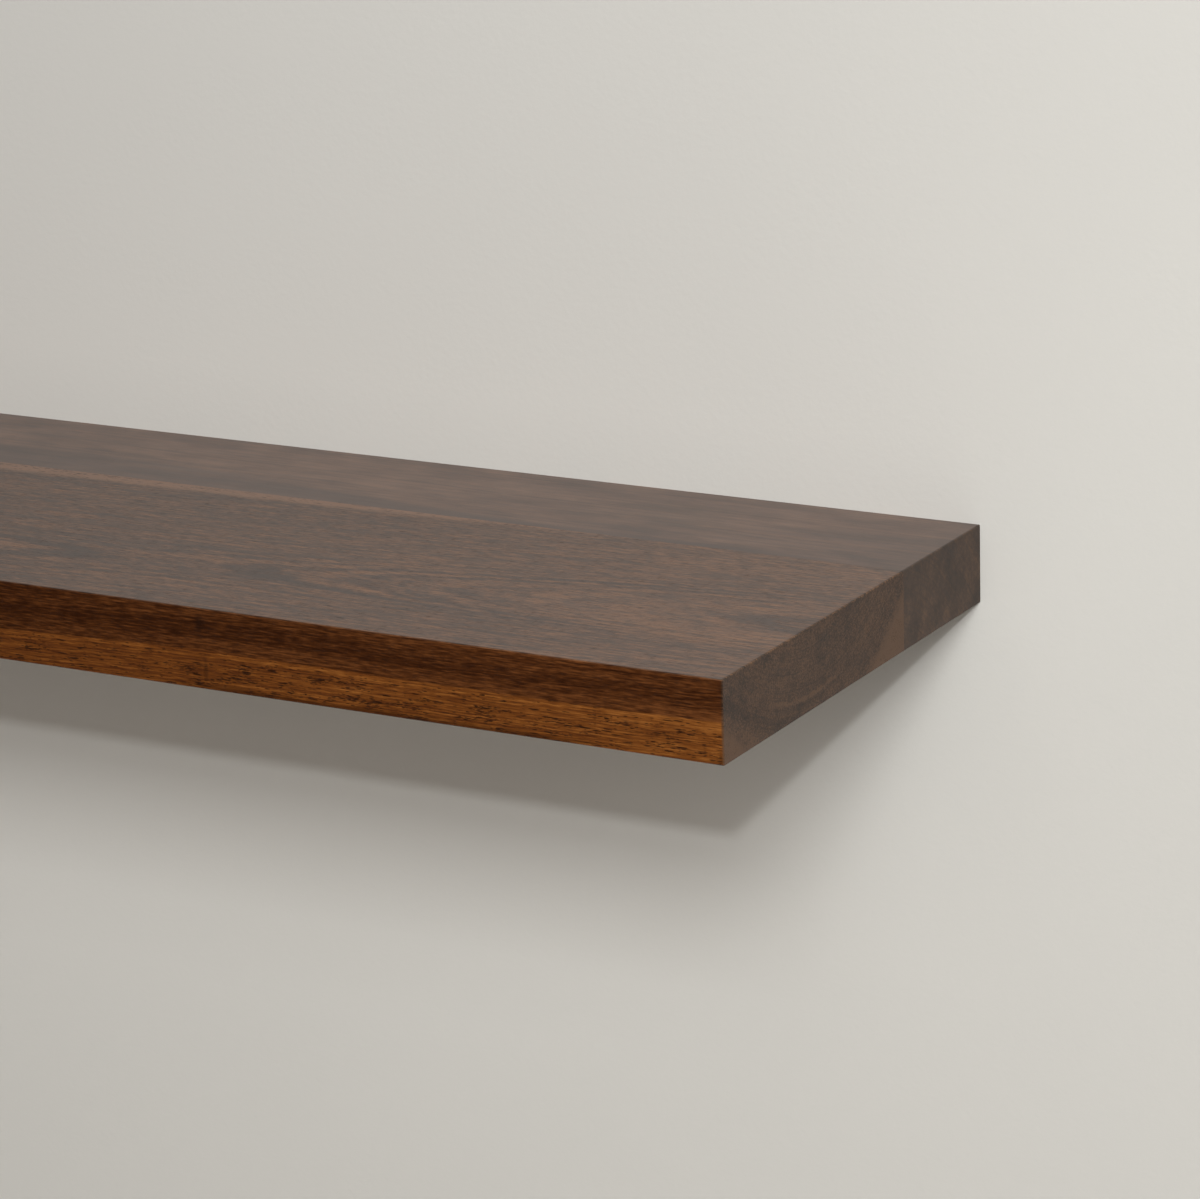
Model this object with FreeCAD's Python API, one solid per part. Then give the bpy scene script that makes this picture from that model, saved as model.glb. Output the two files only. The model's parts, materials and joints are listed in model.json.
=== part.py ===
"""Solid walnut floating wall shelf on a concealed steel rod bracket.

Two edge-glued walnut boards make one thick slab. A routed pocket and three bores in its rear edge
swallow a flat steel wall plate and three solid rods, so that nothing of the bracket shows on the wall.
The rods are shouldered on the plate and held by countersunk bolts from behind. Six wood screws hold the
plate to the wall. Two grub screws in brass inserts, reached from below, lock the slab on the outer rods.

Frame, in millimetres: X runs along the shelf, +Y points into the wall and +Z is up. The origin is the
centre of the wall plate's back face, so the wall's surface is the plane Y = 0, and the slab's middle
plane is Z = 0.
"""

import math
import os

import FreeCAD
import Part

# ---------------------------------------------------------------- slab
SHELF_LENGTH = 914.0
SHELF_DEPTH = 260.0
SHELF_THICKNESS = 38.0
REAR_BOARD_WIDTH = 84.0
EASED_EDGE_RADIUS = 0.6

# ---------------------------------------------------------------- wall plate
PLATE_END_SETBACK = 37.0
PLATE_HEIGHT = 25.0
PLATE_THICKNESS = 6.0
PLATE_CORNER_RADIUS = 6.0
PLATE_EDGE_CHAMFER = 0.6
POCKET_CLEARANCE = 0.5

# ---------------------------------------------------------------- rods
ROD_NAMES = ("left", "centre", "right")
OUTER_ROD_TO_PLATE_END = 120.0
ROD_DIAMETER = 12.7
ROD_TIP_TO_SHELF_FRONT = 89.0
ROD_TIP_CHAMFER = 1.5
ROD_BORE_CLEARANCE = 0.3
BORE_SPARE_DEPTH = 5.0
ROD_FLAT_DEPTH = 0.6
ROD_FLAT_LEAD = 12.0

# ---------------------------------------------------------------- bolts that hold the rods
BOLT_DIAMETER = 8.0
BOLT_HEAD_DIAMETER = 15.5
BOLT_GRIP_IN_ROD = 15.0
BOLT_SOCKET_WIDTH = 5.0
BOLT_SOCKET_DEPTH = 3.2
BOLT_HOLE_CLEARANCE = 0.2
BOLT_THREAD_CLEARANCE = 0.05
BOLT_HEAD_RECESS = 0.2
TAPPED_HOLE_SPARE = 3.0

# ---------------------------------------------------------------- wall screws
SCREW_TO_ROD = 75.0
SCREW_LENGTH = 75.0
SCREW_THREAD_DIAMETER = 6.0
SCREW_NECK_DIAMETER = 4.4
SCREW_HEAD_DIAMETER = 12.0
SCREW_TIP_LENGTH = 6.0
SCREW_HOLE_CLEARANCE = 0.3
SCREW_HEAD_RECESS = 0.3
STAR_DRIVE_POINTS = 6
STAR_DRIVE_OUTER_DIAMETER = 5.6
STAR_DRIVE_INNER_DIAMETER = 4.0
STAR_DRIVE_DEPTH = 2.6

# ---------------------------------------------------------------- locking screws and their inserts
LOCKED_RODS = ("left", "right")
GRUB_DISTANCE_FROM_WALL = 50.0
GRUB_DIAMETER = 6.0
GRUB_TRAVEL = 3.0
GRUB_POINT_CHAMFER = 0.9
GRUB_SOCKET_WIDTH = 3.0
GRUB_SOCKET_DEPTH = 3.5
GRUB_THREAD_CLEARANCE = 0.05
GRUB_POINT_GAP = 0.05
INSERT_BODY_DIAMETER = 9.0
INSERT_FLANGE_DIAMETER = 12.0
INSERT_FLANGE_THICKNESS = 1.2
INSERT_RECESS = 0.2
INSERT_CLEARANCE = 0.05
INSERT_TO_ROD_BORE = 2.2

# ---------------------------------------------------------------- places worked out from the sizes
COUNTERSINK_ANGLE = 90.0
SEAT_CLEARANCE = 0.1
HALF_LENGTH = SHELF_LENGTH / 2
HALF_THICKNESS = SHELF_THICKNESS / 2
GLUE_LINE_Y = -REAR_BOARD_WIDTH
PLATE_LENGTH = SHELF_LENGTH - 2 * PLATE_END_SETBACK
PLATE_FRONT_Y = -PLATE_THICKNESS
POCKET_FLOOR_Y = PLATE_FRONT_Y - POCKET_CLEARANCE
OUTER_ROD_X = PLATE_LENGTH / 2 - OUTER_ROD_TO_PLATE_END
ROD_RADIUS = ROD_DIAMETER / 2
ROD_TIP_Y = ROD_TIP_TO_SHELF_FRONT - SHELF_DEPTH
ROD_FLAT_Z = ROD_FLAT_DEPTH - ROD_RADIUS
BORE_RADIUS = ROD_RADIUS + ROD_BORE_CLEARANCE
BORE_END_Y = ROD_TIP_Y - BORE_SPARE_DEPTH
INSERT_MOUTH_Z = INSERT_RECESS - HALF_THICKNESS
INSERT_TOP_Z = -BORE_RADIUS - INSERT_TO_ROD_BORE
GRUB_POINT_Z = ROD_FLAT_Z - GRUB_POINT_GAP
GRUB_SOCKET_Z = INSERT_MOUTH_Z + GRUB_TRAVEL

ALONG_Y = FreeCAD.Vector(0, 1, 0)
ALONG_Z = FreeCAD.Vector(0, 0, 1)


def rod_x(name):
    """The place of a rod along the shelf, with the rods spread evenly between the outer two."""
    share = ROD_NAMES.index(name) / (len(ROD_NAMES) - 1)
    return (2 * share - 1) * OUTER_ROD_X


def screw_places():
    """The places of the wall screws along the plate, from left to right: one to each side of a rod."""
    return [rod_x(name) + side * SCREW_TO_ROD for name in ROD_NAMES for side in (-1, 1)]


def block(low, high):
    """A box between two opposite corners."""
    size = [h - l for l, h in zip(low, high)]
    return Part.makeBox(*size, FreeCAD.Vector(*low))


def turned_along_y(profile, x=0.0, z=0.0):
    """A solid turned about a line along Y, from (radius, y) points that start and end on that line."""
    points = [FreeCAD.Vector(x + radius, y, z) for radius, y in profile]
    face = Part.Face(Part.makePolygon(points + points[:1]))
    return face.revolve(FreeCAD.Vector(x, 0, z), ALONG_Y, 360)


def turned_along_z(profile, x=0.0, y=0.0):
    """A solid turned about a line along Z, from (radius, z) points that start and end on that line."""
    points = [FreeCAD.Vector(x + radius, y, z) for radius, z in profile]
    face = Part.Face(Part.makePolygon(points + points[:1]))
    return face.revolve(FreeCAD.Vector(x, y, 0), ALONG_Z, 360)


def hexagon_prism(width, base, direction):
    """A hexagonal prism, as wide as stated across its flats, for a hex key's socket."""
    corner_radius = width / 2 / math.cos(math.pi / 6)
    sideways = FreeCAD.Vector(1, 0, 0)
    upright = direction.cross(sideways).normalize()
    points = []
    for step in range(7):
        angle = math.radians(60 * step)
        offset = sideways * math.cos(angle) + upright * math.sin(angle)
        points.append(base + offset * corner_radius)
    return Part.Face(Part.makePolygon(points)).extrude(direction)


def rounded_bar(length, height, radius, front_y, back_y):
    """A flat bar along X with rounded corners, between two planes across Y."""
    bar = block((-length / 2, front_y, -height / 2), (length / 2, back_y, height / 2))
    corners = [e for e in bar.Edges if on(abs(e.tangentAt(e.FirstParameter).y), 1)]
    return bar.makeFillet(radius, corners)


def eased(board, is_outer_edge):
    """The board with a small round-over on each straight edge that the test picks by its middle point."""
    chosen = [e for e in board.Edges if is_outer_edge(e.CenterOfMass)]
    return board.makeFillet(EASED_EDGE_RADIUS, chosen)


def on(value, place):
    """Whether a coordinate lies on a plane, within rounding."""
    return abs(value - place) < 1e-6


# ---------------------------------------------------------------- cutters for the slab
def rod_bore(x):
    """A bore for one rod, from the wall's plane to its flat end just past the rod's tip."""
    start = FreeCAD.Vector(x, 0, 0)
    return Part.makeCylinder(BORE_RADIUS, -BORE_END_Y, start, -ALONG_Y)


def plate_pocket():
    """The routed pocket that hides the wall plate."""
    return rounded_bar(
        PLATE_LENGTH + 2 * POCKET_CLEARANCE,
        PLATE_HEIGHT + 2 * POCKET_CLEARANCE,
        PLATE_CORNER_RADIUS + POCKET_CLEARANCE,
        POCKET_FLOOR_Y,
        0,
    )


def insert_hole(x):
    """The stepped hole for a brass insert, drilled from below until it meets the rod's bore."""
    flange_radius = INSERT_FLANGE_DIAMETER / 2 + INSERT_CLEARANCE
    body_radius = INSERT_BODY_DIAMETER / 2 + INSERT_CLEARANCE
    flange_top = INSERT_MOUTH_Z + INSERT_FLANGE_THICKNESS
    profile = [
        (0, -HALF_THICKNESS),
        (flange_radius, -HALF_THICKNESS),
        (flange_radius, flange_top),
        (body_radius, flange_top),
        (body_radius, 0),
        (0, 0),
    ]
    return turned_along_z(profile, x, -GRUB_DISTANCE_FROM_WALL)


# ---------------------------------------------------------------- the slab's boards
def front_board():
    """The wide board, with blind bores for the rods' ends and every outer edge eased."""
    board = block(
        (-HALF_LENGTH, -SHELF_DEPTH, -HALF_THICKNESS),
        (HALF_LENGTH, GLUE_LINE_Y, HALF_THICKNESS),
    )

    def is_outer_edge(middle):
        at_front = on(middle.y, -SHELF_DEPTH)
        at_end = on(abs(middle.x), HALF_LENGTH)
        return at_front or (at_end and not on(middle.y, GLUE_LINE_Y))

    board = eased(board, is_outer_edge)
    return board.cut([rod_bore(rod_x(name)) for name in ROD_NAMES])


def rear_board():
    """The narrow board against the wall, which holds the plate in its pocket and the two inserts."""
    board = block(
        (-HALF_LENGTH, GLUE_LINE_Y, -HALF_THICKNESS),
        (HALF_LENGTH, 0, HALF_THICKNESS),
    )

    def is_outer_edge(middle):
        at_end = on(abs(middle.x), HALF_LENGTH)
        return at_end and not on(middle.y, GLUE_LINE_Y) and not on(middle.y, 0)

    board = eased(board, is_outer_edge)
    cutters = [plate_pocket()]
    cutters += [rod_bore(rod_x(name)) for name in ROD_NAMES]
    cutters += [insert_hole(rod_x(name)) for name in LOCKED_RODS]
    return board.cut(cutters)


# ---------------------------------------------------------------- the bracket
def countersunk_hole(x, hole_radius, head_radius, mouth_y, far_y):
    """A through hole with a cone at its mouth, along Y from the mouth's plane to the far one."""
    inward = 1 if far_y > mouth_y else -1
    half_angle = math.radians(COUNTERSINK_ANGLE / 2)
    cone_end_y = mouth_y + inward * (head_radius - hole_radius) / math.tan(half_angle)
    profile = [
        (0, mouth_y),
        (head_radius, mouth_y),
        (hole_radius, cone_end_y),
        (hole_radius, far_y),
        (0, far_y),
    ]
    return turned_along_y(profile, x)


def wall_plate():
    """The flat bar, countersunk in front for the wall screws and behind for the rods' bolts."""
    plate = rounded_bar(PLATE_LENGTH, PLATE_HEIGHT, PLATE_CORNER_RADIUS, PLATE_FRONT_Y, 0)
    front_rim = [e for e in plate.Edges if on(e.CenterOfMass.y, PLATE_FRONT_Y)]
    plate = plate.makeChamfer(PLATE_EDGE_CHAMFER, front_rim)
    screw_mouth_radius = SCREW_HEAD_DIAMETER / 2 + SCREW_HEAD_RECESS + SEAT_CLEARANCE
    bolt_mouth_radius = BOLT_HEAD_DIAMETER / 2 + BOLT_HEAD_RECESS + SEAT_CLEARANCE
    holes = []
    hole_radius = SCREW_THREAD_DIAMETER / 2 + SCREW_HOLE_CLEARANCE
    for x in screw_places():
        holes.append(countersunk_hole(x, hole_radius, screw_mouth_radius, PLATE_FRONT_Y, 0))
    hole_radius = BOLT_DIAMETER / 2 + BOLT_HOLE_CLEARANCE
    for name in ROD_NAMES:
        x = rod_x(name)
        holes.append(countersunk_hole(x, hole_radius, bolt_mouth_radius, 0, PLATE_FRONT_Y))
    return plate.cut(holes)


def support_rod(x):
    """A solid rod that is shouldered on the plate, tapped at that end and chamfered at its tip.

    A flat milled along its underside, from just behind the locking screw to the tip, gives that screw
    a level seat and lets the slab be drawn off while the screw is only just slack.
    """
    rod = turned_along_y(
        [
            (0, PLATE_FRONT_Y),
            (ROD_RADIUS, PLATE_FRONT_Y),
            (ROD_RADIUS, ROD_TIP_Y + ROD_TIP_CHAMFER),
            (ROD_RADIUS - ROD_TIP_CHAMFER, ROD_TIP_Y),
            (0, ROD_TIP_Y),
        ],
        x,
    )
    tapped_radius = BOLT_DIAMETER / 2 + BOLT_THREAD_CLEARANCE
    tapped_depth = BOLT_GRIP_IN_ROD + TAPPED_HOLE_SPARE
    shoulder = FreeCAD.Vector(x, PLATE_FRONT_Y, 0)
    tapped_hole = Part.makeCylinder(tapped_radius, tapped_depth, shoulder, -ALONG_Y)
    flat_start_y = ROD_FLAT_LEAD - GRUB_DISTANCE_FROM_WALL
    milled_away = block(
        (x - ROD_RADIUS, ROD_TIP_Y, -ROD_RADIUS),
        (x + ROD_RADIUS, flat_start_y, ROD_FLAT_Z),
    )
    return rod.cut([tapped_hole, milled_away])


def rod_bolt(x):
    """A countersunk bolt, driven with a hex key from the plate's back, that pulls a rod on to the plate."""
    shank_radius = BOLT_DIAMETER / 2
    head_radius = BOLT_HEAD_DIAMETER / 2
    head_y = -BOLT_HEAD_RECESS
    half_angle = math.radians(COUNTERSINK_ANGLE / 2)
    cone_end_y = head_y - (head_radius - shank_radius) / math.tan(half_angle)
    end_y = PLATE_FRONT_Y - BOLT_GRIP_IN_ROD
    bolt = turned_along_y(
        [
            (0, head_y),
            (head_radius, head_y),
            (shank_radius, cone_end_y),
            (shank_radius, end_y),
            (0, end_y),
        ],
        x,
    )
    depth = FreeCAD.Vector(0, -BOLT_SOCKET_DEPTH, 0)
    socket = hexagon_prism(BOLT_SOCKET_WIDTH, FreeCAD.Vector(x, head_y, 0), depth)
    return bolt.cut(socket)


def star_drive(x, mouth_y):
    """A six-pointed star recess for the driver, sunk along Y from the screw's face."""
    corners = []
    for step in range(2 * STAR_DRIVE_POINTS + 1):
        angle = math.pi * step / STAR_DRIVE_POINTS
        is_point = step % 2 == 0
        radius = (STAR_DRIVE_OUTER_DIAMETER if is_point else STAR_DRIVE_INNER_DIAMETER) / 2
        corners.append(FreeCAD.Vector(x + radius * math.cos(angle), mouth_y, radius * math.sin(angle)))
    return Part.Face(Part.makePolygon(corners)).extrude(ALONG_Y * STAR_DRIVE_DEPTH)


def wall_screw(x):
    """A countersunk wood screw through the plate: head, neck, the envelope of its thread, and its point."""
    thread_radius = SCREW_THREAD_DIAMETER / 2
    neck_radius = SCREW_NECK_DIAMETER / 2
    head_radius = SCREW_HEAD_DIAMETER / 2
    head_y = PLATE_FRONT_Y + SCREW_HEAD_RECESS
    half_angle = math.radians(COUNTERSINK_ANGLE / 2)
    cone_end_y = head_y + (head_radius - neck_radius) / math.tan(half_angle)
    point_y = head_y + SCREW_LENGTH
    screw = turned_along_y(
        [
            (0, head_y),
            (head_radius, head_y),
            (neck_radius, cone_end_y),
            (neck_radius, 0),
            (thread_radius, 0),
            (thread_radius, point_y - SCREW_TIP_LENGTH),
            (0, point_y),
        ],
        x,
    )
    return screw.cut(star_drive(x, head_y))


# ---------------------------------------------------------------- the locks under the slab
def threaded_insert(x):
    """A flanged brass insert, set in the slab's underside below a rod."""
    tapped_radius = GRUB_DIAMETER / 2 + GRUB_THREAD_CLEARANCE
    flange_top_z = INSERT_MOUTH_Z + INSERT_FLANGE_THICKNESS - INSERT_CLEARANCE
    return turned_along_z(
        [
            (tapped_radius, INSERT_MOUTH_Z),
            (INSERT_FLANGE_DIAMETER / 2, INSERT_MOUTH_Z),
            (INSERT_FLANGE_DIAMETER / 2, flange_top_z),
            (INSERT_BODY_DIAMETER / 2, flange_top_z),
            (INSERT_BODY_DIAMETER / 2, INSERT_TOP_Z),
            (tapped_radius, INSERT_TOP_Z),
        ],
        x,
        -GRUB_DISTANCE_FROM_WALL,
    )


def grub_screw(x):
    """A flat-point grub screw, shown home against the flat on the rod above it."""
    radius = GRUB_DIAMETER / 2
    point_radius = radius - GRUB_POINT_CHAMFER
    y = -GRUB_DISTANCE_FROM_WALL
    screw = turned_along_z(
        [
            (0, GRUB_SOCKET_Z),
            (radius, GRUB_SOCKET_Z),
            (radius, GRUB_POINT_Z - GRUB_POINT_CHAMFER),
            (point_radius, GRUB_POINT_Z),
            (0, GRUB_POINT_Z),
        ],
        x,
        y,
    )
    depth = FreeCAD.Vector(0, 0, GRUB_SOCKET_DEPTH)
    socket = hexagon_prism(GRUB_SOCKET_WIDTH, FreeCAD.Vector(x, y, GRUB_SOCKET_Z), depth)
    return screw.cut(socket)


def pieces():
    """Every piece by its name, in the order of assembly."""
    made = {"wall_plate": wall_plate()}
    for name in ROD_NAMES:
        made[f"support_rod_{name}"] = support_rod(rod_x(name))
        made[f"rod_bolt_{name}"] = rod_bolt(rod_x(name))
    for number, x in enumerate(screw_places(), start=1):
        made[f"wall_screw_{number}"] = wall_screw(x)
    made["rear_board"] = rear_board()
    made["front_board"] = front_board()
    for name in LOCKED_RODS:
        made[f"threaded_insert_{name}"] = threaded_insert(rod_x(name))
        made[f"grub_screw_{name}"] = grub_screw(rod_x(name))
    return made


def main():
    os.makedirs("parts", exist_ok=True)
    for name, shape in pieces().items():
        solids = shape.Solids
        if len(solids) != 1 or not shape.isValid():
            raise ValueError(f"{name} is not one sound solid")
        solids[0].exportStep(f"parts/{name}.step")
        print(f"{name}: {solids[0].Volume / 1000:.2f} cm3")


main()
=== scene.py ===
# %% [markdown]
# # A solid walnut shelf that floats on hidden steel rods
#
# The slab is two walnut boards glued edge to edge. A steel plate on the wall carries three rods, the
# slab is bored to slide over them, and nothing of the bracket shows from the room. The solids come from
# the workshop drawing and stay as they are. This lesson gives each of them its finish, and gives the
# wall screws the threads that the drawing leaves out.

# %% Load the solids
import json
import math

import bpy
from mathutils import Matrix, Vector

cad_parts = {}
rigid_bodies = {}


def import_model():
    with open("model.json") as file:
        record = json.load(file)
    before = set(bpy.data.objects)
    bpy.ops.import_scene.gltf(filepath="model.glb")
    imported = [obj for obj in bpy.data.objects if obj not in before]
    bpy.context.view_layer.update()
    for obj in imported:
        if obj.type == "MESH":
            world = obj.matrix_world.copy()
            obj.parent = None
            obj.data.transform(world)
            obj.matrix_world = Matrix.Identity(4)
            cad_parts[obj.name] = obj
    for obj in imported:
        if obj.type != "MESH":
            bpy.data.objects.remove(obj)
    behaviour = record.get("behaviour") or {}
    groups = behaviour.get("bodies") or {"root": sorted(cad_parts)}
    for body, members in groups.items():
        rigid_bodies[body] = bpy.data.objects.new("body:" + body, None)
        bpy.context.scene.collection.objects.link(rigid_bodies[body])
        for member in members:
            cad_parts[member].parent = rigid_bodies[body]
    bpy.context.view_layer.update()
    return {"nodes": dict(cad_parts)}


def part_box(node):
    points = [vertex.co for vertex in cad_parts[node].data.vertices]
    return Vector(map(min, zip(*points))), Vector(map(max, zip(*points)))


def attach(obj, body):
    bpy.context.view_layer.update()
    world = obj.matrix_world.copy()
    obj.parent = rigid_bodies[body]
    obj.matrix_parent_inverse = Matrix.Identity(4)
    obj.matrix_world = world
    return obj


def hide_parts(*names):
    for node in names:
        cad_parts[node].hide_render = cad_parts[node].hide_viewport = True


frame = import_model()
bpy.ops.object.select_all(action="DESELECT")

# %% [markdown]
# ## The camera
#
# The shelf is seen from the right and from a little above, through a long lens, so that its edges stay
# nearly parallel. A camera could be aimed with a constraint, but the exact view needs a turn about the
# lens as well. The three directions of the camera are therefore worked out from its heading, tilt and
# roll, and become the columns of its matrix.

# %% Place the camera
EYE = Vector((1.2370, -1.7208, 0.5481))
HEADING, TILT, ROLL = (math.radians(degrees) for degrees in (-29.821, 16.566, 1.919))
SENSOR_WIDTH, LENS = 36.0, 125.217

ahead = Vector((math.sin(HEADING) * math.cos(TILT), math.cos(HEADING) * math.cos(TILT), -math.sin(TILT)))
level = Vector((math.cos(HEADING), -math.sin(HEADING), 0.0))
down = ahead.cross(level)
rightward = level * math.cos(ROLL) + down * math.sin(ROLL)
downward = down * math.cos(ROLL) - level * math.sin(ROLL)
camera_data = bpy.data.cameras.new("camera")
camera_data.sensor_width = SENSOR_WIDTH
camera_data.lens = LENS
camera = bpy.data.objects.new("camera", camera_data)
bpy.context.scene.collection.objects.link(camera)
turn = Matrix((rightward, -downward, -ahead)).transposed().to_4x4()
camera.matrix_world = Matrix.Translation(EYE) @ turn
bpy.context.scene.camera = camera
print("camera looks along", tuple(round(c, 3) for c in ahead))

# %% [markdown]
# ## Shader sums in plain Python
#
# A finish is a graph of nodes. Placing each Math node by hand makes long code that hides the idea, so a
# small class wraps a node's output and turns `a + b` into an Add node. Any other node is added by one
# method that takes its type, its settings and what goes into its sockets.

# %% A wire between nodes
class Wire:
    """A node's output. A sum written on it adds the Math node that works it out."""

    def __init__(self, finish, socket):
        self.finish, self.socket = finish, socket

    def output(self, number):
        """Another output of the same node."""
        return Wire(self.finish, self.socket.node.outputs[number])

    def math(self, operation, first, second=0.0):
        return self.finish.add("ShaderNodeMath", {"operation": operation}, {0: first, 1: second})

    def __add__(self, other):
        return self.math("ADD", self, other)

    def __radd__(self, other):
        return self.math("ADD", other, self)

    def __sub__(self, other):
        return self.math("SUBTRACT", self, other)

    def __rsub__(self, other):
        return self.math("SUBTRACT", other, self)

    def __mul__(self, other):
        return self.math("MULTIPLY", self, other)

    def __rmul__(self, other):
        return self.math("MULTIPLY", other, self)

    def __truediv__(self, other):
        return self.math("DIVIDE", self, other)

    def __rtruediv__(self, other):
        return self.math("DIVIDE", other, self)

    def __pow__(self, other):
        return self.math("POWER", self, other)

    def __abs__(self):
        return self.math("ABSOLUTE", self)

    def root(self):
        return self.math("SQRT", self)

    def ramp(self, low, high, start=0.0, end=1.0):
        """A soft step from one value to another while this wire goes from low to high."""
        places = {"Value": self, "From Min": low, "From Max": high, "To Min": start, "To Max": end}
        return self.finish.add("ShaderNodeMapRange", {"interpolation_type": "SMOOTHSTEP"}, places)


print("things that a wire can do:", sum(callable(part) for part in vars(Wire).values()))


# %% A finish and its nodes
def set_stops(ramp, stops):
    """Gives a colour ramp its (place, colour) stops, all the places first."""
    while len(ramp.elements) < len(stops):
        ramp.elements.new(0.5)
    for element, (place, _) in zip(ramp.elements, stops):
        element.position = place
    for element, (_, colour) in zip(ramp.elements, stops):
        element.color = colour


class Finish:
    """A procedural material, and the one way in which a node joins it."""

    def __init__(self, name, tree=None):
        """Starts a new material, or takes the node tree of something else that has one."""
        if tree is None:
            self.material = bpy.data.materials.new(name)
            self.material.use_nodes = True
            tree = self.material.node_tree
        self.tree = tree
        self.tree.nodes.clear()

    def add(self, kind, settings=None, sockets=None, output=0):
        """Adds a node. Its settings come first, because some of them change its sockets."""
        node = self.tree.nodes.new(kind)
        for name, value in (settings or {}).items():
            if name == "stops":
                set_stops(node.color_ramp, value)
            else:
                setattr(node, name, value)
        for key, value in (sockets or {}).items():
            if isinstance(value, Wire):
                self.tree.links.new(value.socket, node.inputs[key])
            else:
                node.inputs[key].default_value = value
        return Wire(self, node.outputs[output]) if node.outputs else None

    def noise(self, vector, detail=2.0, roughness=0.5, scale=1.0):
        sockets = {"Vector": vector, "Scale": scale, "Detail": detail, "Roughness": roughness}
        return self.add("ShaderNodeTexNoise", {"noise_dimensions": "3D"}, sockets)

    def stretched_noise(self, place, cells, detail=2.0, roughness=0.5):
        """Noise about zero. cells is how many of its cells fit in a unit along X, Y and Z."""
        squeezed = self.add("ShaderNodeMapping", {}, {"Vector": place, "Scale": cells})
        return self.noise(squeezed, detail, roughness) - 0.5

    def vector(self, x, y, z):
        return self.add("ShaderNodeCombineXYZ", {}, {0: x, 1: y, 2: z})

    def mix(self, factor, first, second):
        """A blend of two colours."""
        settings = {"data_type": "RGBA", "clamp_factor": True}
        return self.add("ShaderNodeMix", settings, {0: factor, 6: first, 7: second}, output=2)

    def tone(self, stops, tone):
        """A colour from a ramp of stops, for each tone from 0 to 1."""
        return self.add("ShaderNodeValToRGB", {"stops": stops}, {0: tone})

    def dim(self, colour, factor):
        """A colour made darker or lighter by a number."""
        return self.add("ShaderNodeVectorMath", {"operation": "SCALE"}, {0: colour, "Scale": factor})

    def bump(self, height, distance, strength):
        sockets = {"Height": height, "Distance": distance, "Strength": strength}
        return self.add("ShaderNodeBump", {}, sockets)

    def shade(self, colour, rough, normal, **others):
        """The shader of nearly every finish. What is the same all over goes in as others."""
        sockets = {"Base Color": colour, "Roughness": rough, "Normal": normal, **others}
        return self.add("ShaderNodeBsdfPrincipled", {}, sockets)

    def surface(self, shader):
        """Puts the shader on the material, which is then finished."""
        self.add("ShaderNodeOutputMaterial", {}, {"Surface": shader})
        return self.material


def screen(red, green, blue):
    """A colour as a screen shows it, 0 to 255, turned into the plain light values that nodes use."""
    def linear(value):
        value /= 255.0
        return value / 12.92 if value <= 0.04045 else ((value + 0.055) / 1.055) ** 2.4
    return (linear(red), linear(green), linear(blue), 1.0)


def millimetres(finish):
    """The place on the piece, in millimetres, as a vector."""
    place = finish.add("ShaderNodeTexCoord", output=3)
    return finish.add("ShaderNodeVectorMath", {"operation": "SCALE"}, {0: place, "Scale": 1000.0})


print("the middle grey of a screen in light values:", round(screen(128, 128, 128)[0], 3))

# %% [markdown]
# ## Walnut, as a tree grows it
#
# Real figure is what a flat saw leaves of nested cones of growth. Painted grain on each face would never
# meet at the corners, so the finish works out, for any point inside the board, how far it is from the
# tree's middle. That one distance gives the arcs on the end, the long lines on the front edge and the
# pointed arches on top, and all three join at the corners as they do in sawn timber.
#
# Both boards share more than that. Sawn across, the wood drinks its oil and turns grey and dull. The top
# is painted paler and a little grey-blue, which is painted light: a painted sheen for the pale wall that
# the top reflects, and a painted lift for the light that falls on it. Its figure shows through that thin
# painted haze. The edges stay as the plane left them. One mask for the ends and one for the top steer that.
# Five noises of different length give fibre, broken streaks, clouds of colour, and the slow drift and
# quick ripple of the rings.

# %% The grain that both boards share
FRONT_BOX = [corner * 1000 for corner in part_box("front_board")]
FRONT_EDGE, SHELF_END, TOP = (round(c, 2) for c in (FRONT_BOX[0].y, FRONT_BOX[1].x, FRONT_BOX[1].z))
FIBRE, STREAKS, CLOUD = (0.06, 1.5, 1.5), (0.014, 0.42, 0.42), (0.008, 0.03, 0.03)
DRIFT, RIPPLE = (0.006, 0.02, 0.02), (0.03, 0.09, 0.09)
NEAR_END, END_SKIN = SHELF_END - 2.0, (SHELF_END - 1.4, SHELF_END - 0.2)
TOP_SKIN = (TOP - 0.8, TOP - 0.1)
END_AND_SHEEN_GREYS = [(0.0, screen(30, 17, 8)), (0.5, screen(58, 38, 24)), (1.0, screen(88, 62, 42))]
# the grey-blue of the top's painted sheen, a painted reflection of the pale wall above the shelf
PAINTED_SHEEN_GREY = screen(110, 128, 135)
OIL_IOR, SATIN, RELIEF_DEPTH = 1.5, 0.34, 0.00005


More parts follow.
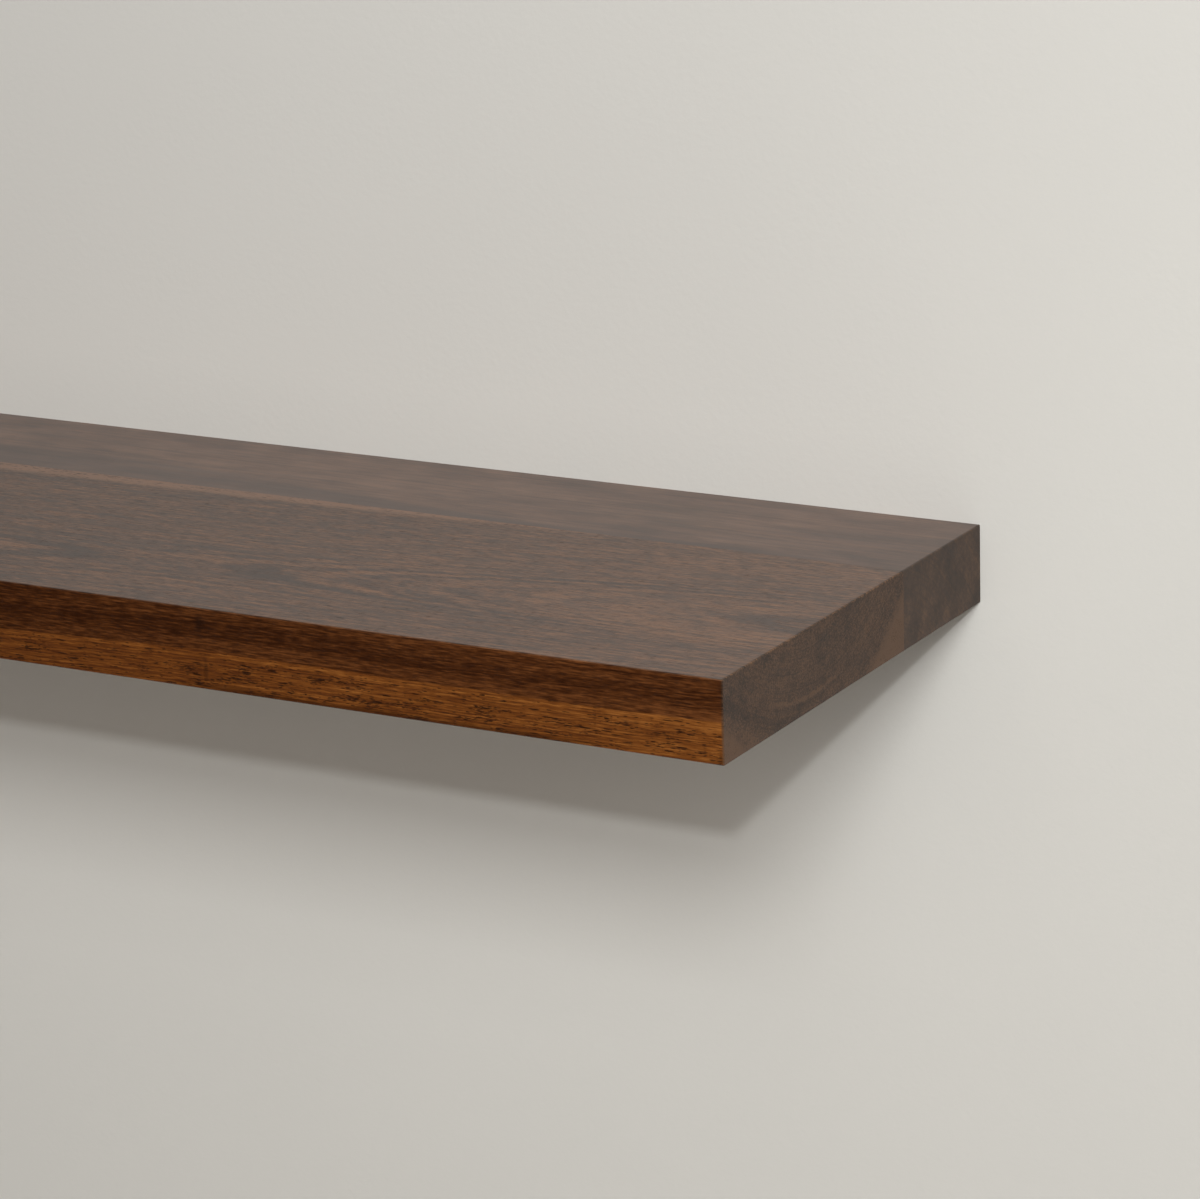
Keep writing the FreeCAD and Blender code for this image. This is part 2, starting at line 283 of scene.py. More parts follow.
class Grain:
    """One board's finish, with the masks and noises that every board needs."""

    def __init__(self, name):
        self.finish = Finish(name)
        self.place = millimetres(self.finish)
        self.x = self.finish.add("ShaderNodeSeparateXYZ", {}, {0: self.place})
        self.y, self.z = self.x.output(1), self.x.output(2)
        self.endwise = abs(self.x).ramp(*END_SKIN)
        self.upward = self.z.ramp(*TOP_SKIN)
        self.fibre = self.noise(FIBRE, 3.0, 0.7)
        self.streaks = self.noise(STREAKS, 4.0, 0.7)
        self.cloud = self.noise(CLOUD)
        self.drift = self.noise(DRIFT, 1.0)
        self.ripple = self.noise(RIPPLE, 3.0, 0.6)

    def noise(self, cells, detail=2.0, roughness=0.5):
        """Noise about zero. cells is how many fit in a millimetre along, across and up."""
        return self.finish.stretched_noise(self.place, cells, detail, roughness)

    def end_and_sheen_colour(self, tone):
        return self.finish.tone(END_AND_SHEEN_GREYS, tone)

    def distance(self, centre, radii):
        """How far a point is from a knot's middle, where 1 is the knot's rim."""
        axes = zip((self.x, self.y, self.z), centre, radii)
        away = self.finish.vector(*((part - middle) / radius for part, middle, radius in axes))
        return self.finish.add("ShaderNodeVectorMath", {"operation": "LENGTH"}, {0: away}, output=1)

    def painted_top_sheen(self, colour, painted_sheen, painted_lift):
        """Painted light on the top: a grey-blue painted sheen for the pale wall it reflects, and a painted
        lift in tone.
        """
        hazy = self.finish.mix(self.upward * painted_sheen, colour, PAINTED_SHEEN_GREY)
        return self.finish.dim(hazy, self.upward * painted_lift + 1.0)

    def oiled(self, colour, rough, relief):
        normal = self.finish.bump(relief, RELIEF_DEPTH, 0.6)
        return self.finish.surface(self.finish.shade(colour, rough, normal, IOR=OIL_IOR))


print("a fibre is", round(1 / FIBRE[0]), "mm long and", round(1 / FIBRE[1], 1), "mm thick")

# %% [markdown]
# ### The rings of the front board
#
# The middle of this tree ran some 90 mm above the board. It swings slowly aside along the board, and
# bows up at one place and sags to both sides of it, which turns the lines on the top into pointed
# arches. The trunk also tapers, so each ring is a little wider towards the right.

# %% Growth rings
PITH_Y, PITH_SWING = -213.0, 0.08
PITH_Z, PITH_SAG, BOW_X, BOW_SPREAD = 116.0, 9.0, 168.0, 200.0
TRUNK_TAPER, RING_DRIFT, RING_RIPPLE = 0.0102, 1.2, 1.6
LINE_SHARPNESS, LINE_FAINTNESS = 5.0, 1.5


def front_board_rings(board):
    """How far a point of the front board is from the tree's middle, and how far to its rear side."""
    aside = board.y - (board.x * PITH_SWING + PITH_Y)
    along = board.x - BOW_X
    squared = along * along
    above = PITH_Z - PITH_SAG * squared / (squared + BOW_SPREAD ** 2) - board.z
    radius = (aside * aside + above * above).root() - board.x * TRUNK_TAPER
    return radius + board.drift * RING_DRIFT + board.ripple * RING_RIPPLE, aside


def year_lines(finish, radius, spacing):
    """A thin dark line where each ring closes, strong in some years and faint in most."""
    count = radius / spacing
    year = count.math("FLOOR", count)
    strength = finish.add("ShaderNodeTexWhiteNoise", {"noise_dimensions": "1D"}, {"W": year})
    return (count - year) ** LINE_SHARPNESS * strength ** LINE_FAINTNESS


print("the tree's middle runs", PITH_Z - PITH_SAG - TOP, "to", PITH_Z - TOP, "mm above the top")

# %% [markdown]
# ### The record of years
#
# Each ring closes with a thin dark line, but only some years leave a strong one. A colour ramp over the
# distance from the middle is the simplest record of that: one stop per change, listed just as a tree
# keeps it. The lines of ordinary years are worked out from the same distance.

# %% Years of the front board
FIRST_YEAR, LAST_YEAR = 80.0, 140.0
GROUND = [(80.0, 0.56), (89.0, 0.60), (93.0, 0.58), (97.0, 0.50), (111.0, 0.47), (118.5, 0.45)]
DARK_LINES = [
    (86.9, 1.0, 0.08), (91.8, 0.8, 0.20), (93.7, 1.0, 0.0),
    (95.28, 0.9, 0.02), (98.4, 0.8, 0.14), (104.5, 0.6, 0.24)]


def year_stops(ground, lines):
    """Ramp stops: a ground tone for each radius, with thin dark (radius, width, tone) lines let into it."""
    stops = list(ground)
    for radius, width, tone in lines:
        before = max(start for start in ground if start[0] <= radius)[1]
        stops += [(radius - width, before), (radius, tone), (radius + width * 0.35, before)]
    stops.sort(key=lambda stop: stop[0])
    span = LAST_YEAR - FIRST_YEAR
    return [((radius - FIRST_YEAR) / span, (tone, tone, tone, 1.0)) for radius, tone in stops]


FRONT_YEARS = year_stops(GROUND, DARK_LINES)
print("stops on the front board's ramp:", len(FRONT_YEARS))

# %% [markdown]
# ### Pores
#
# A walnut board is full of cut vessels. On a long face each shows as a short dark dash, on the end as a
# dot. Cells of a Voronoi texture, squeezed along the board, give both at once: a share of the cells is
# filled, and each has a length of its own.

# %% Pores
SHORTEST_PORE, PORE_SPREAD, PORE_EDGE = 0.55, 0.6, 0.45


def pores(board, cells, share, size=0.42):
    """Dashes along the grain. cells is how many fit in a millimetre along, across and up."""
    place = board.finish.add("ShaderNodeMapping", {}, {"Vector": board.place, "Scale": cells})
    nearest = board.finish.add("ShaderNodeTexVoronoi", {"feature": "F1"}, {"Vector": place, "Scale": 1.0})
    chance = board.finish.add("ShaderNodeSeparateColor", {}, {0: nearest.output(1)})
    filled = (share - chance).ramp(-0.02, 0.02)
    reach = chance.output(1) * (size * PORE_SPREAD) + size * SHORTEST_PORE
    return (reach - nearest).ramp(0.0, size * PORE_EDGE) * filled


print("a pore fills", SHORTEST_PORE, "to", SHORTEST_PORE + PORE_SPREAD, "of the size it is given")

# %% [markdown]
# ### The front board's heartwood
#
# Most of the front board is dark heartwood. Its tone is a sum: the ramp of years, a darker and a paler
# zone that run along the front edge, the fine figure, and some colour that comes and goes along the
# board. A ramp of three browns turns the tone into a colour. On top and at the ends the greys of the
# end grain take over. On top they are painted sheen, which stands in for the pale wall that the top
# reflects, and the top's tone is lifted a little as painted light.

# %% The front board's heartwood
HEARTWOOD = [(0.0, screen(45, 20, 6)), (0.45, screen(72, 38, 15)), (1.0, screen(104, 61, 30))]
RING_WIDTH, PALE_ARC_RADIUS = 1.9, 117.0
UNROLLED, GRIT, MOTTLE = (0.006, 0.05, 1.3), (0.13, 1.3, 1.3), (0.05, 0.11, 0.11)
FRONT_SIDE, ZONE_SLOPE, ZONE_MIDDLE = (40.0, -40.0), 0.0155, 250.0
DARK_FROM, DARK_TO, LIGHT_FROM = (118.0, 121.0), (126.5, 124.0), (125.5, 128.0)
ARC_EDGE, ARC_FRONT, ARC_REAR = (1.6, 0.3), (-44.0, -30.0), (30.0, 16.0)
BRIGHT_MIDDLE, BRIGHT_REACH, BRIGHT_SLOPE = 270.0, 200.0, 0.0008


def front_figure(board):
    """Works out what only the front board has: its rings, its finer noises and its zones."""
    board.radius, board.aside = front_board_rings(board)
    board.lines = year_lines(board.finish, board.radius, RING_WIDTH)
    along, across, outward = UNROLLED
    unrolled = board.finish.vector(board.x * along, board.aside * across, board.radius * outward)
    board.fine = board.finish.noise(unrolled, 4.0, 0.7) - 0.5
    board.grit = board.noise(GRIT, 2.0, 0.6)
    board.mottle = board.noise(MOTTLE, 4.0, 0.6)
    board.front_side = board.aside.ramp(*FRONT_SIDE)
    board.climb = (board.x - ZONE_MIDDLE) * ZONE_SLOPE
    past_middle = board.x - BRIGHT_MIDDLE
    board.brighter = past_middle.math("MAXIMUM", past_middle, -BRIGHT_REACH) * BRIGHT_SLOPE


def heartwood_tone(board):
    """The sum of years, zones and figure on the long faces."""
    upward = board.upward
    edge_radius = board.radius - board.climb
    dark_zone = edge_radius.ramp(*DARK_FROM) * edge_radius.ramp(*DARK_TO) * board.front_side * 0.2
    light_zone = edge_radius.ramp(*LIGHT_FROM) * board.front_side * 0.13
    figure = board.fine * 1.2 + board.fibre * 1.7 + board.grit * (2.4 - upward)
    figure = figure + board.streaks * (0.6 - upward * 0.2) - board.lines * 0.4
    years = board.finish.tone(FRONT_YEARS, (board.radius - FIRST_YEAR) / (LAST_YEAR - FIRST_YEAR))
    years = (years - 0.5) * (upward * 0.15 + 1.0 - board.endwise * 0.5) + 0.5
    tone = years + light_zone - dark_zone + figure * (upward * 0.7 + 1.0) + board.cloud * 0.4
    # the top's tone is lifted a little: painted light
    return tone + upward * 0.03 + board.brighter * (1.0 - upward * 0.5)


def heartwood(board):
    """Colour and tone of the dark wood. One pale ring shows as an arc on the ends."""
    pale_arc = abs(board.radius - PALE_ARC_RADIUS + board.mottle * 4.0).ramp(*ARC_EDGE)
    pale_arc = pale_arc * board.aside.ramp(*ARC_FRONT) * board.aside.ramp(*ARC_REAR)
    tone = heartwood_tone(board) + (board.mottle * 0.9 + pale_arc * 0.5 - 0.04) * board.endwise
    brown = board.finish.tone(HEARTWOOD, tone)
    # on top the end-grain greys are painted sheen, for the pale wall that the top reflects
    return board.finish.mix(board.endwise + board.upward * 0.75, brown, board.end_and_sheen_colour(tone)), tone


print("heartwood in light values:", [round(c, 4) for c in HEARTWOOD[1][1]])

# %% [markdown]
# ### The front board's sapwood
#
# The outermost rings of a tree are pale. Here they take the lower half of the front edge, and at the
# back they just reach the top beside the glue line. The sapwood begins at a radius of its own, which
# changes along the board. On the front edge its border is sharp, on the ends it is a blur.

# %% The front board's sapwood
SAPWOOD = [(0.0, screen(74, 37, 15)), (0.5, screen(111, 63, 24)), (1.0, screen(150, 94, 43))]
DULL_SAPWOOD = screen(92, 66, 48)
SAP_RADIUS, SAP_BULGE, SAP_RETREAT, REAR_EXTRA = 130.2, 5.0, 0.043, 1.5
REAR_SIDE, BULGE_FRONT, BULGE_REAR = (-20.0, 80.0), (-90.0, 0.0), (80.0, 0.0)
FRONT_BLUR, REAR_BLUR, END_BLUR = 0.45, 2.6, (-1.5, 5.0)


def sapwood_border(board):
    """Works out how far a point is past the heartwood, in millimetres, and how pale that makes it."""
    board.rear = board.aside.ramp(*REAR_SIDE)
    outer = SAP_RADIUS + board.rear * (REAR_EXTRA + (NEAR_END - board.x) * SAP_RETREAT)
    outer = outer + board.aside.ramp(*BULGE_FRONT) * board.aside.ramp(*BULGE_REAR) * SAP_BULGE
    board.past = board.radius - (outer + board.climb * board.front_side)
    on_faces = (board.past / (board.rear * REAR_BLUR + FRONT_BLUR)).ramp(-1.0, 1.0)
    on_ends = (board.past + board.mottle * 8.0).ramp(*END_BLUR)
    board.pale = on_faces * (1.0 - board.endwise) + on_ends * board.endwise


def sapwood(board, heart_tone):
    """Colour of the pale wood. It is freshest where it has just left the heartwood."""
    fresh = board.past.ramp(4.0, 0.5) * 0.16
    tone = fresh + board.brighter - board.lines * 0.5 + board.fine * 1.9 + board.fibre * 1.7
    tone = tone + board.grit * 1.1 + board.streaks * 0.6 + board.cloud * 0.4 + 0.39
    colour = board.finish.tone(SAPWOOD, tone)
    colour = board.finish.mix(board.rear * (1.0 - board.endwise) * 0.85, colour, DULL_SAPWOOD)
    return board.finish.mix(board.endwise, colour, board.end_and_sheen_colour(heart_tone * 0.5 + 0.9))


print("sapwood in light values:", [round(c, 4) for c in SAPWOOD[1][1]])

# %% [markdown]
# ### The front board's marks
#
# Over the ground colours lie the marks: dark pores, crowded in drifts of the pale wood, a stained lower
# margin, hair-thin long vessels, and a pin knot with a scar below it. Each is a mask between 0 and 1 that
# lets a dark colour through.

# %% The front board's marks
LONG_PORES, SHORT_PORES, HAIR_PORES = (0.2, 1.7, 1.7), (0.4, 2.6, 2.6), (0.10, 2.6, 2.6)
PORE_DRIFTS, CROWD_FROM, CROWD_TO = (0.045, 0.25, 0.25), (150.0, 205.0), (470.0, 260.0)
FIRST_PORES, STAIN_FROM, STAIN_TO = (0.5, 6.0), (150.0, 230.0), (410.0, 370.0)
STAIN_DEPTH = (-15.0, -18.2)
PORE_DARK, STAIN_DARK = screen(34, 13, 2), screen(44, 18, 4)
HAIR_DARK, KNOT_DARK = screen(40, 18, 5), screen(30, 14, 7)
KNOT, KNOT_RADII = (192.5, FRONT_EDGE, 11.0), (3.2, 12.0, 6.5)
SCAR, SCAR_RADII = (195.0, FRONT_EDGE, -10.0), (1.6, 6.0, 9.0)


def cut_vessels(board):
    """Short dark dashes, in drifts in the pale wood and scattered in the dark."""
    crowd = board.x.ramp(*CROWD_FROM) * board.x.ramp(*CROWD_TO) * 0.6 + 0.4
    crowd = crowd * board.past.ramp(*FIRST_PORES) * board.pale
    crowd = crowd * board.noise(PORE_DRIFTS).ramp(-0.03, 0.13)
    share = crowd * 0.9 + (1.0 - board.pale) * 0.14 + 0.08
    return pores(board, LONG_PORES, share, 0.6) + pores(board, SHORT_PORES, share * 1.2, 0.62)


def stained_margin(board):
    """Darker wood low on the front edge, right of the knot."""
    low = (board.z + board.mottle * 6.0 + board.streaks * 4.0).ramp(*STAIN_DEPTH)
    return low * board.x.ramp(*STAIN_FROM) * board.x.ramp(*STAIN_TO) * (1.0 - board.endwise)


def pin_knot(board):
    """A small knot in the front edge and the scar below it."""
    ragged = board.fine * 1.6 + board.fibre * 1.2
    knot = (board.distance(KNOT, KNOT_RADII) + ragged).ramp(1.15, 0.1)
    return knot + (board.distance(SCAR, SCAR_RADII) + ragged).ramp(1.1, 0.2) * 0.5


print("the pin knot is", SHELF_END - KNOT[0], "mm from the right-hand end")


# %% The front board's finish
def front_board_walnut():
    board = Grain("figured_walnut")
    front_figure(board)
    sapwood_border(board)
    heart, tone = heartwood(board)
    dashes, hair, knot = cut_vessels(board), pores(board, HAIR_PORES, 0.45), pin_knot(board)
    colour = board.finish.mix(board.pale, heart, sapwood(board, tone))
    for strength, dark in (
            (dashes * (board.pale * 0.6 + 0.35) * (1.0 - board.endwise * 0.7), PORE_DARK),
            (stained_margin(board) * 0.7, STAIN_DARK),
            (hair * 0.5, HAIR_DARK),
            (knot * 0.75, KNOT_DARK)):
        colour = board.finish.mix(strength, colour, dark)
    rough = board.fine * 0.1 + board.fibre * 0.1 + dashes * 0.1 + board.endwise * 0.25 + board.upward * 0.03
    relief = board.fibre * 0.4 - dashes * 0.5 - hair * 0.4 - knot * 0.8
    # the top gets painted light here: a thin painted sheen and a painted lift in tone
    return board.oiled(board.painted_top_sheen(colour, 0.02, 0.98), rough + SATIN, relief)


FRONT_WALNUT = front_board_walnut()
frame["nodes"]["front_board"].data.materials[0] = FRONT_WALNUT
print("front board finished with", len(FRONT_WALNUT.node_tree.nodes), "nodes")

# %% [markdown]
# ## The rear board
#
# The narrow board comes from another log, whose middle ran well below it. It is plainer and a little
# pinker, with one dark streak of mineral colour that runs out along the glue line, and the ghost of a
# knot that lies just under the top.

# %% The rear board's figure
PLAIN_WALNUT = [(0.0, screen(58, 36, 24)), (0.5, screen(86, 60, 46)), (1.0, screen(108, 80, 64))]
REAR_PITH_Y, REAR_PITH_SWING, REAR_PITH_Z, REAR_RING_WIDTH = -118.0, -0.02, -96.0, 2.3
REAR_DRIFT, REAR_RIPPLE, REAR_UNROLLED = 8.0, 2.0, (0.006, 0.04, 0.9)
STREAK_EDGE, STREAK_WIDTH, STREAK_LEAN, STREAK_BLUR = -80.5, 27.0, 0.3, (-3.0, 3.0)
STREAK_NARROWS, STREAK_ENDS, STREAK_DARKENS = (300.0, -20.0), (NEAR_END, 380.0), (40.0, 300.0)
MINERAL, GHOST_BROWN, HAIR_BROWN = screen(52, 37, 31), screen(60, 42, 30), screen(46, 25, 12)
GHOST, GHOST_RADII = (316.0, -39.0, TOP), (34.0, 23.0, 14.0)


def plain_tone(board):
    """Rings, fibre and clouds, as a tone for each point of the rear board."""
    aside = board.y - (board.x * REAR_PITH_SWING + REAR_PITH_Y)
    above = board.z - REAR_PITH_Z
    radius = (aside * aside + above * above).root() + board.drift * REAR_DRIFT + board.ripple * REAR_RIPPLE
    along, across, outward = REAR_UNROLLED
    unrolled = board.finish.vector(board.x * along, board.y * across, radius * outward)
    board.fine = board.finish.noise(unrolled, 4.0, 0.65) - 0.5
    board.mottle = board.noise(RIPPLE, 4.0, 0.6)
    tone = board.fine * 0.8 + board.fibre * 0.9 + board.streaks * (1.2 - board.upward * 0.5)
    tone = tone + board.cloud * 0.9 - year_lines(board.finish, radius, REAR_RING_WIDTH) * 0.35
    tone = tone + board.mottle * (board.endwise * 0.4 + board.upward * 0.3 + 0.8)
    return tone * (board.upward * 0.2 + 1.0) + 0.52 - board.x * 0.0003 + board.endwise * 0.12


def mineral_streak(board):
    """A dark streak, wide at the left and drawn out to a thread at the right."""
    edge = STREAK_EDGE + STREAK_WIDTH * board.x.ramp(*STREAK_NARROWS) + board.drift * 4.0 + board.fine * 5.0
    streak = (edge - board.y + (board.z - TOP) * STREAK_LEAN).ramp(*STREAK_BLUR)
    return streak * board.x.ramp(*STREAK_ENDS) * board.x.ramp(*STREAK_DARKENS, 0.5, 0.75)


def knot_ghost(board):
    """The shade of a knot that the saw only just missed."""
    return (board.distance(GHOST, GHOST_RADII) + board.streaks * 2.0 + board.mottle).ramp(1.2, 0.3)


print("plain walnut in light values:", [round(c, 4) for c in PLAIN_WALNUT[1][1]])


# %% The rear board's finish
def rear_board_walnut():
    board = Grain("plain_walnut")
    tone = plain_tone(board)
    hair = pores(board, HAIR_PORES, 0.4)
    colour = board.finish.tone(PLAIN_WALNUT, tone)
    for strength, other in (
            # on top the end-grain greys are painted sheen, for the pale wall that the top reflects
            (board.endwise + board.upward * 0.3, board.end_and_sheen_colour(tone)),
            (mineral_streak(board), MINERAL),
            (knot_ghost(board) * 0.4, GHOST_BROWN),
            (hair * 0.45, HAIR_BROWN)):
        colour = board.finish.mix(strength, colour, other)
    rough = board.fine * 0.1 + board.fibre * 0.1 + board.endwise * 0.2 + board.upward * 0.03
    # the top gets painted light here: a painted sheen and a painted lift in tone
    return board.oiled(board.painted_top_sheen(colour, 0.045, 0.62), rough + SATIN, board.fibre * 0.4 - hair * 0.4)


REAR_WALNUT = rear_board_walnut()
frame["nodes"]["rear_board"].data.materials[0] = REAR_WALNUT
print("rear board finished with", len(REAR_WALNUT.node_tree.nodes), "nodes")

# %% [markdown]
# ## The bracket's paint and metals
#
# Five finishes tell the hidden parts apart: textured black powder paint on the plate, ground bright steel
# on the rods, zinc on the wall screws, black oxide on the bolts and locking screws, and turned brass on
# the inserts. Metal shows its making mostly in its gloss, so each gets the marks of its own machine. The
# zinc lies under a clear film that scatters light, so it counts as partly bare.

# %% Paint on the plate
PAINT_DARK, PAINT_LIGHT = (0.013, 0.013, 0.014, 1.0), (0.026, 0.026, 0.027, 1.0)
PAINT_GRAIN, PAINT_DEPTH = (0.09, 0.09, 0.09, 1.0), 0.0002


def powder_paint():
    """Baked powder: an even orange peel with a few brighter grains in it."""
    finish = Finish("black_powder_paint")
    place = millimetres(finish)
    peel = finish.noise(place, 2.0, 0.5, 1.4)
    grains = finish.noise(place, 1.0, 0.5, 5.0)
    colour = finish.mix(peel.ramp(0.35, 0.7), PAINT_DARK, PAINT_LIGHT)
    colour = finish.mix(grains.ramp(0.66, 0.74) * 0.5, colour, PAINT_GRAIN)
    normal = finish.bump(peel + grains * 0.2, PAINT_DEPTH, 0.6)
    return finish.surface(finish.shade(colour, peel * 0.2 + 0.36, normal))


POWDER_PAINT = powder_paint()
print("painted:", POWDER_PAINT.name)


# %% Machined metals
def machined_metal(name, dark, light, marks, rough, depth, bare=1.0):
    """Metal with cutter marks. marks is how many fit in a millimetre along X, Y and Z, and bare is the
    share of the surface that no film covers."""
    finish = Finish(name)
    place = millimetres(finish)
    lines = finish.stretched_noise(place, marks, 3.0, 0.6)
    stain = finish.noise(place, 3.0, 0.6, 0.12) - 0.5
    colour = finish.mix(lines * 1.2 + stain * 0.9 + 0.5, dark, light)
    gloss = lines * 0.18 + stain * 0.16 + rough
    return finish.surface(finish.shade(colour, gloss, finish.bump(lines, depth, 0.5), Metallic=bare))


GROUND_STEEL = machined_metal(
    "ground_steel", dark=(0.42, 0.41, 0.40, 1.0), light=(0.62, 0.61, 0.59, 1.0),
    marks=(0.15, 4.0, 0.15), rough=0.30, depth=0.00003)
BRIGHT_ZINC = machined_metal(
    "bright_zinc", dark=(0.50, 0.52, 0.54, 1.0), light=(0.70, 0.72, 0.74, 1.0),
    marks=(1.2, 1.6, 1.2), rough=0.36, depth=0.00002, bare=0.6)
BLACK_OXIDE = machined_metal(
    "black_oxide", dark=(0.030, 0.030, 0.033, 1.0), light=(0.075, 0.074, 0.076, 1.0),
    marks=(2.0, 3.0, 2.0), rough=0.40, depth=0.00002)
TURNED_BRASS = machined_metal(
    "turned_brass", dark=(0.52, 0.34, 0.12, 1.0), light=(0.74, 0.53, 0.22, 1.0),
    marks=(0.4, 0.4, 5.0), rough=0.28, depth=0.00003)
print("metals:", [metal.name for metal in (GROUND_STEEL, BRIGHT_ZINC, BLACK_OXIDE, TURNED_BRASS)])

# %% Each solid gets its metal
METAL_OF = {
    "wall_plate": POWDER_PAINT, "support_rod": GROUND_STEEL, "rod_bolt": BLACK_OXIDE,
    "grub_screw": BLACK_OXIDE, "threaded_insert": TURNED_BRASS,
}
for name, solid in frame["nodes"].items():
    for start, material in METAL_OF.items():
        if name.startswith(start):
            solid.data.materials[0] = material
print("finished solids:", sum(name.startswith(tuple(METAL_OF)) for name in frame["nodes"]))

# %% [markdown]
# ## The wall screws
#
# The drawing gives each screw's thread as a plain cylinder. A real wood screw is rolled: a flat head with
# a six-point recess, a cone under it, a plain neck, and a sharp thread on a thinner core. The turned body
# is drawn out ring by ring from the head, the thread is a triangle carried round by a Screw modifier, and
# both are narrowed together into the point. One screw is made at the first hole and copied to the others.

# %% Measures of a wall screw
FIRST_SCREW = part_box("wall_screw_1")
SCREW_X = (FIRST_SCREW[0].x + FIRST_SCREW[1].x) / 2
HEAD_Y, TIP_Y = FIRST_SCREW[0].y, FIRST_SCREW[1].y
HEAD_RADIUS = (FIRST_SCREW[1].x - FIRST_SCREW[0].x) / 2
HEAD_RIM = 0.0003
NECK_END_Y, CORE_START_Y = -0.0002, 0.0004
NECK_RADIUS, CORE_RADIUS, THREAD_RADIUS = 0.0022, 0.00195, 0.003
STAR_OUTER, STAR_INNER, STAR_DEPTH, STAR_DRAFT, STAR_HOLLOW = 0.0028, 0.0020, 0.0026, 0.92, 0.97
POINT_LENGTH, POINT_TAPER = 0.009, -0.94
THREAD_PITCH, THREAD_START_Y, THREAD_SPARE = 0.003, 0.0016, 0.0016
THREAD_ROOT, START_ROOT, THREAD_THINNED = 0.0003, 0.0001, 0.9
SIDES, CORE_STEPS, POINT_STEPS, STEPS_PER_TURN = 24, 4, 6, 16
ON_FACE, ON_CREST, WELD = 1e-6, 1e-5, 1e-7
SMOOTH_UNDER = math.radians(35)
print("screw at x", round(SCREW_X, 4), "from", round(HEAD_Y, 4), "to", round(TIP_Y, 4))


# %% Helpers for edit mode
def pick(piece, test):
    """Selects, in edit mode, the corners that the test accepts and nothing else, and counts them."""
    bpy.ops.mesh.select_mode(type="VERT")
    bpy.ops.mesh.select_all(action="DESELECT")
    bpy.ops.object.mode_set(mode="OBJECT")
    for corner in piece.data.vertices:
        corner.select = test(corner)
    count = sum(corner.select for corner in piece.data.vertices)
    bpy.ops.object.mode_set(mode="EDIT")
    return count


def narrow(ratio, centre):
    """Widens or narrows what is selected, about a centre and not along Y."""
    bpy.ops.transform.resize(value=(ratio, 1.0, ratio), center_override=centre)


def draw_out(along, ratio, centre):
    """Extrudes the selected ring along Y, widens or narrows it, and gives its new centre."""
    bpy.ops.mesh.extrude_region_move(TRANSFORM_OT_translate={"value": (0.0, along, 0.0)})
    centre = Vector((centre.x, centre.y + along, centre.z))
    if ratio != 1.0:
        narrow(ratio, centre)
    return centre


def draw_straight(end, steps, centre):
    """Extrudes the selected ring straight to a place on Y, in equal steps."""
    for left in range(steps, 0, -1):
        centre = draw_out((end - centre.y) / left, 1.0, centre)
    return centre


print("a turned ring has", SIDES, "sides")


# %% The screw's turned body
def turned_body():
    """Rim, cone, neck, core and point, drawn out of a circle on the face of the head."""
    face = Vector((SCREW_X, HEAD_Y, 0.0))
    turned = (math.radians(90), 0.0, 0.0)
    bpy.ops.object.select_all(action="DESELECT")
    bpy.ops.mesh.primitive_circle_add(vertices=SIDES, radius=HEAD_RADIUS, location=face, rotation=turned)
    body = bpy.context.object
    bpy.ops.object.transform_apply(location=True, rotation=True, scale=True)
    bpy.ops.object.mode_set(mode="EDIT")
    bpy.ops.mesh.select_all(action="SELECT")
    place = draw_out(HEAD_RIM, 1.0, face)
    place = draw_out(HEAD_RADIUS - NECK_RADIUS - HEAD_RIM, NECK_RADIUS / HEAD_RADIUS, place)
    place = draw_straight(NECK_END_Y, 1, place)
    place = draw_out(CORE_START_Y - NECK_END_Y, CORE_RADIUS / NECK_RADIUS, place)
    place = draw_straight(TIP_Y - POINT_LENGTH, CORE_STEPS, place)
    draw_straight(TIP_Y, POINT_STEPS, place)
    bpy.ops.mesh.edge_face_add()
    bpy.ops.object.mode_set(mode="OBJECT")
    return body


screw_body = turned_body()
print("turned body:", len(screw_body.data.vertices), "corners")


# %% The star in its head
def spoke(vertex):
    """Which of the ring's directions a corner lies in, counted round from X."""
    return round(math.atan2(vertex.co.z, vertex.co.x - SCREW_X) / (math.tau / SIDES))


def sink_star(body):
    """Draws the head's inner ring to a six-point star, sinks it and closes it."""
    face = Vector((SCREW_X, HEAD_Y, 0.0))
    bpy.ops.object.mode_set(mode="EDIT")
    pick(body, lambda v: v.co.y < HEAD_Y + ON_FACE)
    draw_out(0.0, STAR_OUTER / HEAD_RADIUS, face)
    bpy.ops.object.mode_set(mode="OBJECT")
    ring = {v.index: spoke(v) for v in body.data.vertices if v.select}
    bpy.ops.object.mode_set(mode="EDIT")
    flank_radius = (STAR_INNER + STAR_OUTER) / 2 * STAR_HOLLOW
    pick(body, lambda v: ring.get(v.index, 0) % 4 == 2)
    narrow(STAR_INNER / STAR_OUTER, face)
    pick(body, lambda v: ring.get(v.index, 0) % 2 == 1)
    narrow(flank_radius / STAR_OUTER, face)
    pick(body, lambda v: v.index in ring)
    draw_out(STAR_DEPTH, STAR_DRAFT, face)
    bpy.ops.mesh.edge_face_add()
    bpy.ops.mesh.select_all(action="SELECT")
    bpy.ops.mesh.normals_make_consistent(inside=False)
    bpy.ops.object.mode_set(mode="OBJECT")


sink_star(screw_body)
print("body with its star:", len(screw_body.data.vertices), "corners")


